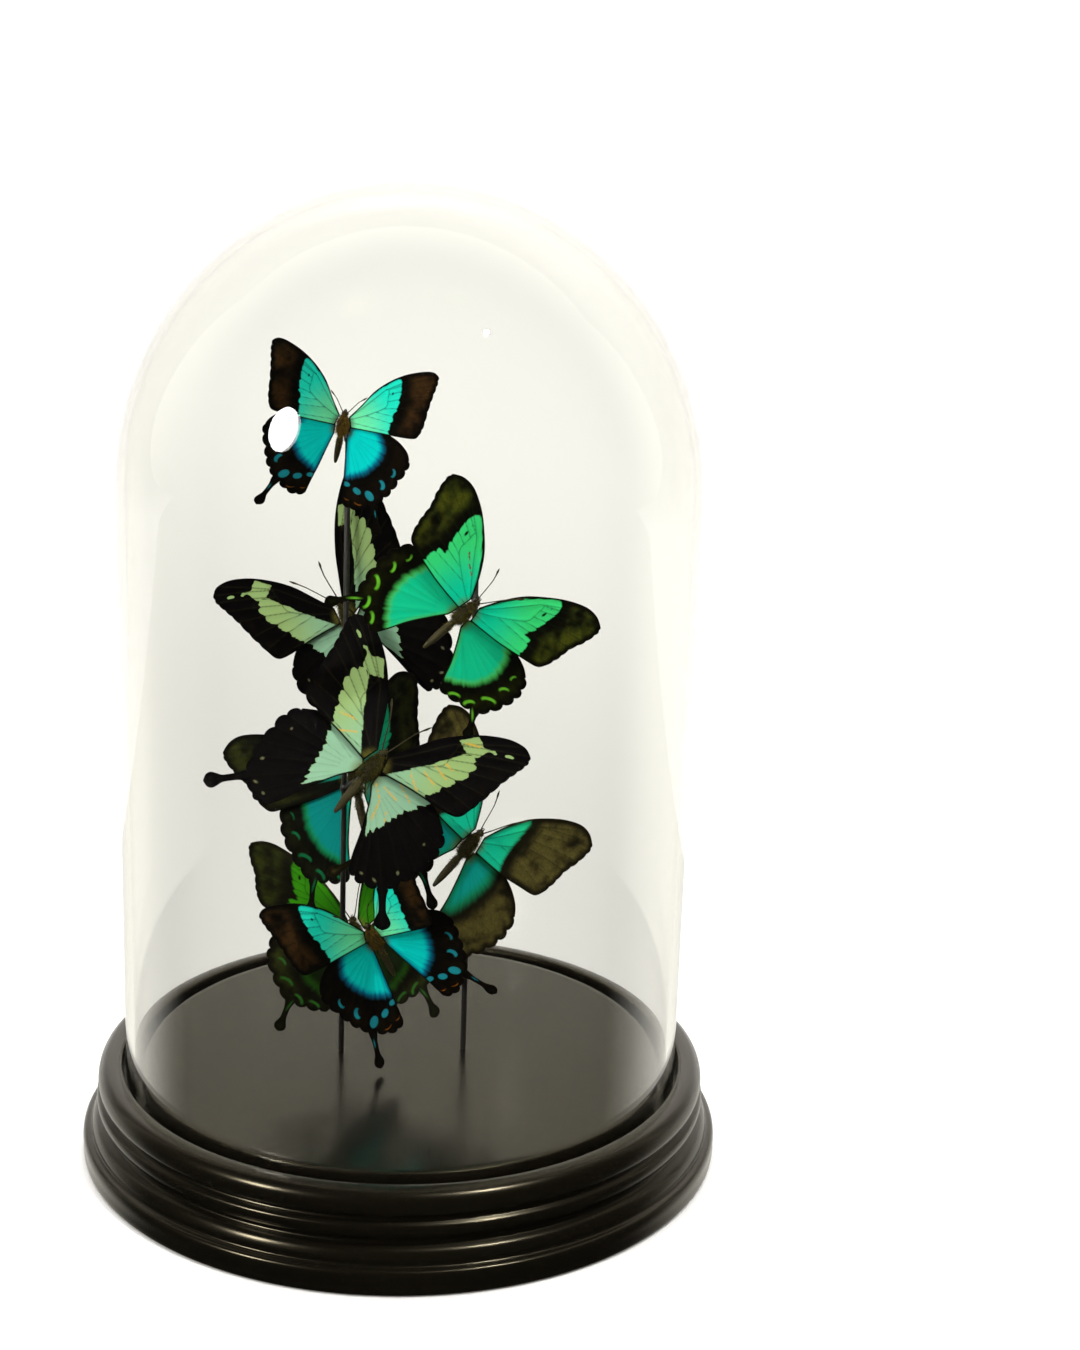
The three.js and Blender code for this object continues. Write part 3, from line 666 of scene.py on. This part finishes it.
def scale_fields(points, outline, patches, veins, marks, is_fore):
    """What the scales' colours need at each point of a wing."""
    vein = np.min([line_distance(points, line) for line in veins], axis=0)
    patch = np.max([inside_distance(points, smooth(p + [p[0]], 5)) for p in patches], axis=0)
    reach = np.hypot(points[:, 0], points[:, 1])
    outwards = (points[:, 0] - points[:, 1] if is_fore else reach) - OUTER_FROM
    outer_side = np.clip(outwards / OUTER_OVER, 0, 1)
    at_vein = np.exp(-(vein / SCALLOP_HALF_WIDTH) ** 2)
    return {
        "bright": patch - marks["scallop"] * at_vein * outer_side,
        "moons": moon_distance(points, [] if is_fore else marks["moons"]),
        "nicks": moon_distance(points, marks.get("nicks", []) if is_fore else []),
        "orange": moon_distance(points, [] if is_fore else marks.get("orange", [])),
        "vein": vein,
        "edge": line_distance(points, outline + [outline[0]]),
        "reach": reach,
        "ray": np.degrees(np.arctan2(points[:, 1], points[:, 0] + 2.0)) * 0.45,
        "fore": np.full(len(points), 1.0 if is_fore else 0.0),
    }


def sheet_of(outline, patches, veins, marks, is_fore):
    """A wing's sheet: cut out, marked, pleated along its veins, and as thick as the membrane."""
    bm = cut_sheet(outline)
    points = np.array([v.co.xy for v in bm.verts])
    fields = scale_fields(points, outline, patches, veins, marks, is_fore)
    layers = {name: bm.verts.layers.float.new(name) for name in (*fields, "under", "worn")}
    for i, vert in enumerate(bm.verts):
        vert[layers["worn"]] = FAR_AWAY
        for name, values in fields.items():
            vert[layers[name]] = float(values[i])
        vein, edge = fields["vein"][i], fields["edge"][i]
        hollow = PLEAT_DEPTH * (1 - math.exp(-(vein / PLEAT_FLANK) ** 2))
        ridge = VEIN_RIDGE * math.exp(-(vein / VEIN_HALF_WIDTH) ** 2)
        vert.co.z = ridge - hollow * min(edge / PLEAT_MARGIN, 1)
    made = bmesh.ops.solidify(bm, geom=bm.faces[:], thickness=MEMBRANE)
    for vert in made["geom"]:
        if isinstance(vert, bmesh.types.BMVert):
            vert[layers["under"]] = 1.0
    return bm


def wear(bm, lines):
    """Writes how far each point lies from the nearest rubbed streak."""
    layer = bm.verts.layers.float["worn"]
    points = np.array([v.co.xy for v in bm.verts])
    distance = np.min([line_distance(points, line) for line in lines], axis=0)
    for vert, value in zip(bm.verts, distance):
        vert[layer] = float(value)


def turn(degrees, axis):
    return Matrix.Rotation(math.radians(degrees), 4, axis)


def body_matrix(at, heading_climb_bank):
    heading, climb, bank = heading_climb_bank
    return Matrix.Translation(at) @ turn(heading, "Z") @ turn(climb, "X") @ turn(bank, "Y")


def place_wing(template, name, fly, side, hinge, lift, swing, stretch, seed):
    """A copy of a wing's sheet, gently cockled as it dried, set on its hinge line."""
    bm = template.copy()
    if name in WORN:
        wear(bm, WORN[name])
    for vert in bm.verts:
        x, y, _ = vert.co
        far = min(math.hypot(x, y) / COCKLE_FULL_AT, 1.0)
        warp = noise.noise(Vector((x * COCKLE_WAVES + seed, y * COCKLE_WAVES, seed * 1.7)))
        vert.co.z += COCKLE * far * warp
    size = fly.size
    scale = Matrix.Diagonal((side * size * stretch, size * (2 - stretch), size, 1))
    at = Matrix.Translation((side * hinge[0] * size, hinge[1] * size, hinge[2] * size))
    matrix = (body_matrix(fly.thorax, fly.turned) @ at @ turn(-side * lift, "Y")
              @ turn(side * swing, "Z") @ scale)
    bmesh.ops.transform(bm, matrix=matrix, verts=bm.verts)
    if side < 0:
        bmesh.ops.reverse_faces(bm, faces=bm.faces)
    return bm


def ring_edges(bm, place, way, radius, sides):
    spin = Vector((0, 0, 1)).rotation_difference(way).to_matrix().to_4x4()
    made = bmesh.ops.create_circle(bm, segments=sides, radius=radius,
                                   matrix=Matrix.Translation(place) @ spin)
    return list({e for v in made["verts"] for e in v.link_edges})


def tube(bm, points, radii, sides):
    """A closed round tube through the points, of changing radius."""
    points = [Vector(p) for p in points]
    rings = []
    for i, (point, radius) in enumerate(zip(points, radii)):
        way = (points[min(i + 1, len(points) - 1)] - points[max(i - 1, 0)]).normalized()
        rings.append(ring_edges(bm, point, way, radius, sides))
    for one, other in zip(rings, rings[1:]):
        bmesh.ops.bridge_loops(bm, edges=one + other)
    for ring in (rings[0], rings[-1]):
        bmesh.ops.contextual_create(bm, geom=ring)


def trunk_radius(y):
    return float(np.interp(y, [p[1] for p in TRUNK], [p[0] for p in TRUNK]))


def trunk_mesh():
    """Head, thorax and abdomen turned in one form along Y, with the abdomen's rings."""
    profile = []
    for r, y in smooth(TRUNK, 5) + [TRUNK[-1]]:
        wave = 0.5 + 0.5 * math.cos(2 * math.pi * y / ABDOMEN_RING)
        ringed = 1 - 0.09 * wave if y < ABDOMEN_FROM else 1
        profile.append((max(r, 0) * ringed, y))
    return spun(profile, TRUNK_STEPS, axis=(0, 1, 0))


def antenna_points(side):
    """A feeler that leaves the brow, bends a little and ends in a slim club."""
    lean = turn(ANTENNA_RAISE, "X") @ turn(-side * ANTENNA_SPREAD, "Z")
    return [lean @ Vector((-side * x, y, 0)) + Vector((side * 0.6, 6.8, 0.6)) for x, y in ANTENNA]


def leg_points(side, hip):
    """A folded leg: thigh out, shin down, and a thin foot."""
    start = Vector((side * 1.3, hip, -1.1))
    foot = Vector((side * 2.8, hip * 1.6 - 2.4, -6))
    knee = start.lerp(foot, 0.4) + Vector((side * 0.5, 0.3, 0.1))
    ankle = start.lerp(foot, 0.78) + Vector((side * 0.2, -0.1, 0))
    return [start, knee, ankle, foot]


def palp_points(side):
    """One of the two short feelers in front of the mouth."""
    return [Vector((side * 0.35, 7.2, -0.4)), Vector((side * 0.4, 8.3, -0.2)),
            Vector((side * 0.25, 9.1, 0.3))]


def tongue_points():
    """The tongue, coiled like a watch spring under the brow."""
    points = []
    for a in np.linspace(0, TONGUE_TURN, TONGUE_STEPS):
        shrunk = 1 - a / (2 * TONGUE_TURN)
        points.append(Vector((0, 7.4 + TONGUE_COIL * math.cos(a) * shrunk,
                              -1.1 + TONGUE_COIL * math.sin(a) * shrunk)))
    return points


def hairs(bm, layer):
    """Fine hairs over the thorax, head and the front of the abdomen, combed backwards."""
    chance = random.Random(HAIR_SEED)
    for _ in range(HAIRS):
        y = chance.uniform(FUR_FROM, 7.6) if chance.random() < 0.3 else chance.uniform(-4.8, 5.6)
        angle = chance.uniform(0, 2 * math.pi)
        radius = trunk_radius(y)
        out = Vector((math.cos(angle), 0, math.sin(angle)))
        place = out * radius * 0.96 + Vector((0, y, 0))
        way = (out + Vector((chance.uniform(-0.4, 0.4), chance.uniform(-1.5, -0.2),
                             chance.uniform(-0.4, 0.4)))).normalized()
        long = chance.uniform(1.0, 2.5) if y > -3.4 else chance.uniform(0.5, 1.1)
        spin = Vector((0, 0, 1)).rotation_difference(way).to_matrix().to_4x4()
        matrix = Matrix.Translation(place + way * long / 2) @ spin
        made = bmesh.ops.create_cone(bm, cap_ends=True, segments=3, radius1=HAIR_ROOT,
                                     radius2=HAIR_TIP, depth=long, matrix=matrix)
        shade = chance.random() ** 1.5
        for vert in made["verts"]:
            vert[layer] = shade


def body_mesh():
    """The whole body. Its materials, 0 to 2, are the cuticle, the fur and the eyes."""
    bm = trunk_mesh()
    for side in (-1, 1):
        tube(bm, antenna_points(side), ANTENNA_RADII, 6)
        for hip in HIPS:
            tube(bm, leg_points(side, hip), LEG_RADII, 6)
        tube(bm, palp_points(side), [0.3, 0.28, 0.1], 6)
    tube(bm, tongue_points(), np.linspace(0.14, 0.07, TONGUE_STEPS), 5)
    cuticle = len(bm.faces)
    layer = bm.verts.layers.float.new("shade")
    hairs(bm, layer)
    furred = len(bm.faces)
    for side in (-1, 1):
        eye = Matrix.Translation((side * 0.95, 6.75, 0.15)) @ Matrix.Diagonal((*EYE_SIZE, 1))
        bmesh.ops.create_icosphere(bm, subdivisions=3, radius=1, matrix=eye)
    bm.faces.ensure_lookup_table()
    for i, face in enumerate(bm.faces):
        face.material_index = 0 if i < cuticle else 1 if i < furred else 2
    return bm


def wing_sheets():
    """A forewing's and a hindwing's sheet for each kind. Kinds with the same marks share theirs."""
    sheets = {}
    for name, kind in KINDS.items():
        shape, marks = kind["shape"], kind["marks"]
        alike = [other for other in sheets if KINDS[other]["marks"] is marks]
        sheets[name] = sheets[alike[0]] if alike else (
            sheet_of(fore_outline(shape), marks["fore"], fore_veins(shape), marks, True),
            sheet_of(hind_outline(shape), marks["hind"], hind_veins(shape), marks, False))
    return sheets


def make_wings(fly, number, sheets, scales):
    """The four wings of one butterfly, each cockled in its own way."""
    for i, (side, word) in enumerate(((-1, "left"), (1, "right"))):
        for j, (part, hinge, swing, sink) in enumerate((
                ("forewing", FORE_HINGE, fly.fore_swing, 0),
                ("hindwing", HIND_HINGE, fly.hind_swing, fly.drop[i]))):
            name = f"{fly.name}_{word}_{part}"
            bm = place_wing(sheets[j], name, fly, side, hinge, fly.lift[i] - sink, swing[i],
                            fly.stretch[2 * j + i], number * 4 + 2 * i + j)
            finish_piece(bm, name + "_sheet", [scales], [name])


def make_butterflies():
    """Eight butterflies: a body and each kind's wings are shaped once and copied into place."""
    cuticle, eye = chitin(), compound_eye()
    brown_fur = fur("brown_body_fur", "#3a2806", "#a07a1e")
    olive_fur = fur("olive_body_fur", "#201e04", "#645c14")
    trunk = body_mesh()
    scales = {name: wing_scales(name, kind) for name, kind in KINDS.items()}
    sheets = wing_sheets()
    for number, fly in enumerate(BUTTERFLIES):
        coat = brown_fur if fly.kind == "turquoise" else olive_fur
        body = trunk.copy()
        matrix = body_matrix(fly.thorax, fly.turned) @ Matrix.Diagonal((*[fly.size] * 3, 1))
        bmesh.ops.transform(body, matrix=matrix, verts=body.verts)
        finish_piece(body, fly.name + "_furred_body", [cuticle, coat, eye],
                     [fly.name + "_body"])
        make_wings(fly, number, sheets[fly.kind], scales[fly.kind])


def base_profile():
    """Foot band, cove, bead and rim, then the glass groove and the raised floor."""
    r, rim, top = BASE_RADIUS, RIM_RADIUS, BASE_HEIGHT
    groove = top - GROOVE_DEPTH
    side = [(r - 0.8, 0), (r, 0.8), (r, 3.4), (r, 6.2), (r - 0.7, 7.7), (r - 2.6, 8.5),
            (r - 3, 10.4), (r - 4.2, 12.4), (r - 6.4, 13.8), (r - 6.6, 15), (rim - 0.3, 16),
            (rim + 0.5, 17.8),
            (rim + 0.3, 19.8), (rim - 1.4, 21.2), (rim - 1.6, 22.2), (rim - 0.3, 23.2), (rim, 25.2),
            (rim - 0.7, 27.6), (rim - 2.4, 29.3), (rim - 4.6, top)]
    lip = [(GROOVE_OUTER_RADIUS + 1.5, top), (GROOVE_OUTER_RADIUS + 0.45, top - 0.45),
           (GROOVE_OUTER_RADIUS, top - 1.4)]
    floor = [(FLOOR_RADIUS, top - 0.9), (FLOOR_RADIUS - 0.26, top - 0.26),
             (FLOOR_RADIUS - 0.9, top)]
    return ([(0, 0), (r - 20, 0)] + smooth(side, 5) + [side[-1]] + smooth(lip, 4) + [lip[-1]]
            + [(GROOVE_OUTER_RADIUS, groove), (FLOOR_RADIUS, groove)] + smooth(floor, 4)
            + [floor[-1], (FLOOR_RADIUS - 3, top), (FLOOR_RADIUS - 30, top), (0, top)])


def make_base():
    base = finish_piece(spun(base_profile(), BASE_STEPS), "turned_wooden_base", [lacquered_wood()],
                        ["wooden_base"])
    base.data.set_sharp_from_angle(angle=math.radians(40))


def glass_profile():
    foot = BASE_HEIGHT - GROOVE_DEPTH + FIT_GAP
    spring = GLASS_TOP - GLASS_CAP_HEIGHT
    inside = GLASS_RADIUS - GLASS_WALL

    def cap(radius, height, steps=40):
        return [(0 if i == steps else radius * math.cos(math.pi / 2 * i / steps),
                 spring + height * math.sin(math.pi / 2 * i / steps)) for i in range(steps + 1)]

    lip = [(inside + GLASS_WALL / 2 * (1 - math.cos(a)), foot + 1.4 * (1 - math.sin(a)))
           for a in np.linspace(0, math.pi, 13)]
    # Rows up the straight wall keep its shading level, so that nothing seen through it is bent.
    rows = [foot + 2.4, foot + 4] + list(np.linspace(foot + 20, spring - 4, 8)) + [spring - 1]
    return (cap(inside, GLASS_CAP_HEIGHT - GLASS_WALL)[::-1] + [(inside, z) for z in rows[::-1]]
            + lip + [(GLASS_RADIUS, z) for z in rows] + cap(GLASS_RADIUS, GLASS_CAP_HEIGHT))


def make_dome():
    dome = finish_piece(spun(glass_profile(), GLASS_STEPS), "clear_glass_dome", [dome_glass()],
                        ["glass_dome"])
    dome.visible_shadow = False


def stem_point(stem, z):
    bottom = Vector((*stem["foot"], BASE_HEIGHT - STEM_HOLE_DEPTH + FIT_GAP))
    top = Vector(stem["top"])
    return bottom.lerp(top, (z - bottom.z) / (top.z - bottom.z))


def add_peg(bm, stem, fly):
    """A butterfly's short side peg, with a blob of glue where it leaves the rod."""
    start = stem_point(stem, fly.peg[1])
    thorax = Vector(fly.thorax)
    end = start.lerp(thorax, 1 - PEG_STOP / (thorax - start).length)
    radii = [PEG_RADIUS, PEG_RADIUS, PEG_RADIUS * 0.8]
    tube(bm, [start, start.lerp(end, 0.5), end], radii, PEG_SIDES)
    blob = Matrix.Translation(start) @ Matrix.Diagonal((*GLUE_BLOB, 1))
    bmesh.ops.create_icosphere(bm, subdivisions=3, radius=1, matrix=blob)


def make_stems():
    """Two rods that stand in the floor, with the pegs of the butterflies that hang on them."""
    material = black_rod()
    for word, stem in STEMS.items():
        bm = bmesh.new()
        low = stem_point(stem, BASE_HEIGHT - STEM_HOLE_DEPTH + FIT_GAP)
        top = Vector(stem["top"])
        tube(bm, [low, low.lerp(top, 0.5), top.lerp(low, 0.002), top],
             [STEM_RADIUS, STEM_RADIUS, STEM_RADIUS, STEM_RADIUS * 0.7], STEM_SIDES)
        for fly in BUTTERFLIES:
            if fly.peg[0] == word:
                add_peg(bm, stem, fly)
        bmesh.ops.recalc_face_normals(bm, faces=bm.faces)
        rod = finish_piece(bm, word + "_mounting_rod", [material], [word + "_stem"])
        rod.data.set_sharp_from_angle(angle=math.radians(50))


def paper(name, run):
    """A sheet of white studio paper that follows a run of (y, z) points."""
    material, tree = new_material("white_studio_paper")
    shader = add(tree, "BsdfPrincipled", {"Base Color": linear("#fcfaf8"), "Roughness": 0.9})
    add(tree, "OutputMaterial", {"Surface": shader})
    bm = bmesh.new()
    verts = [bm.verts.new((-PAPER_WIDTH / 2, y, z)) for y, z in run]
    edges = [bm.edges.new(pair) for pair in zip(verts, verts[1:])]
    made = bmesh.ops.extrude_edge_only(bm, edges=edges)
    far_side = [v for v in made["geom"] if isinstance(v, bmesh.types.BMVert)]
    bmesh.ops.translate(bm, vec=(PAPER_WIDTH, 0, 0), verts=far_side)
    bmesh.ops.recalc_face_normals(bm, faces=bm.faces)
    sheet = object_of(bm, name, [material])
    # Through the glass the eye meets the even white of the world instead.
    sheet.visible_transmission = False
    return sheet


def make_stage():
    """A level white floor that curves up into a backdrop. Its front shows in no reflection."""
    bend = [(BEND_START + BEND_RADIUS * math.sin(a), BEND_RADIUS - BEND_RADIUS * math.cos(a))
            for a in np.linspace(0, math.pi / 2, BEND_STEPS)]
    paper("paper_sweep", [(MIRRORED_FROM, 0)] + bend + [(BEND_START + BEND_RADIUS, PAPER_TOP)])
    floor = paper("paper_floor", [(PAPER_FRONT, 0), (MIRRORED_FROM, 0)])
    floor.visible_glossy = False


def softbox(name, place, target, size, power, round_shape=False, mirrored=True, lights=True):
    """An area light that faces a point; places in millimetres, power in watts."""
    data = bpy.data.lights.new(name, "AREA")
    data.shape = "ELLIPSE" if round_shape else "RECTANGLE"
    data.size, data.size_y = size[0] * MM, size[1] * MM
    data.energy = power
    light = bpy.data.objects.new(name, data)
    bpy.context.scene.collection.objects.link(light)
    light.location = Vector(place) * MM
    light.rotation_euler = (Vector(place) - Vector(target)).to_track_quat("Z", "Y").to_euler()
    light.visible_glossy = mirrored
    light.visible_transmission = mirrored
    light.visible_diffuse = lights


def make_world():
    """White to the eye and straight through the glass, whiter to the right and upwards. In
    reflections it is a pale backdrop behind the part and a dark room in front."""
    world = bpy.data.worlds.new("soft_studio_world")
    bpy.context.scene.world = world
    world.use_nodes = True
    tree = world.node_tree
    tree.nodes.clear()
    mirrored = add(tree, "LightPath", out="Glossy Depth")
    scattered = add(tree, "LightPath", out="Diffuse Depth")
    bounces = add(tree, "Math", {0: mirrored, 1: scattered}, operation="ADD")
    straight = add(tree, "Math", {0: bounces, 1: 0.5}, operation="LESS_THAN")
    way = add(tree, "TexCoord", out="Generated")
    to_right = add(tree, "SeparateXYZ", {"Vector": way}, out="X")
    to_back = add(tree, "SeparateXYZ", {"Vector": way}, out="Y")
    upwards = add(tree, "SeparateXYZ", {"Vector": way}, out="Z")
    backdrop = add(tree, "MapRange", {
        "Value": to_back, "From Min": 0.05, "From Max": 0.6, "To Min": 0.01, "To Max": 1.05,
    }, **SMOOTH)
    room = add(tree, "Mix", {0: mirrored, 2: 0.34, 3: backdrop})
    slant = add(tree, "Math", {0: to_right, 1: 0.25, 2: upwards}, operation="MULTIPLY_ADD")
    white = add(tree, "MapRange", {
        "Value": slant, "From Min": -0.36, "From Max": -0.15, "To Min": 0.98, "To Max": 1.21,
    }, **SMOOTH)
    strength = add(tree, "Mix", {0: straight, 2: room, 3: white})
    tone = add(tree, "Mix", {0: straight, 6: linear("#fffcf2"), 7: linear("#fffefa")}, **COLOURS)
    background = add(tree, "Background", {"Color": tone, "Strength": strength})
    add(tree, "OutputWorld", {"Surface": background})


def make_lights():
    """A large soft light overhead, one on the backdrop, a round one at the front left that shows in
    the glass as an oval, and a small one high at the right that draws lines on the turned rings."""
    make_world()
    softbox("overhead_softbox", (-150, 250, 1700), (0, 150, 0), (1600, 1400), 22, mirrored=False)
    softbox("backdrop_lamp", (300, 500, 1900), (300, 1300, 500), (2400, 300), 13, mirrored=False)
    softbox("front_left_softbox", FRONT_LEFT, (0, 0, 150), (600, 600), 10.5, mirrored=False)
    softbox("front_left_umbrella", FRONT_LEFT, (-30, -80, 247), (300, 390), 12, round_shape=True,
            lights=False)
    softbox("high_right_lamp", (640, -439, 1589), (0, 0, 100), (44, 44), 12, round_shape=True)


def make_camera():
    data = bpy.data.cameras.new("photo_camera")
    data.sensor_fit = "HORIZONTAL"
    data.sensor_width = SENSOR_WIDTH
    data.lens = CAMERA_LENS
    data.clip_start, data.clip_end = 0.01, 20
    camera = bpy.data.objects.new("photo_camera", data)
    bpy.context.scene.collection.objects.link(camera)
    camera.matrix_world = (Matrix.Translation(Vector(CAMERA_PLACE) * MM)
                           @ turn(90 - CAMERA_DIP, "X") @ turn(CAMERA_ROLL, "Z"))
    bpy.context.scene.camera = camera


bpy.context.scene.view_settings.view_transform = "Standard"
make_camera()
make_stage()
make_lights()
make_base()
make_dome()
make_stems()
make_butterflies()
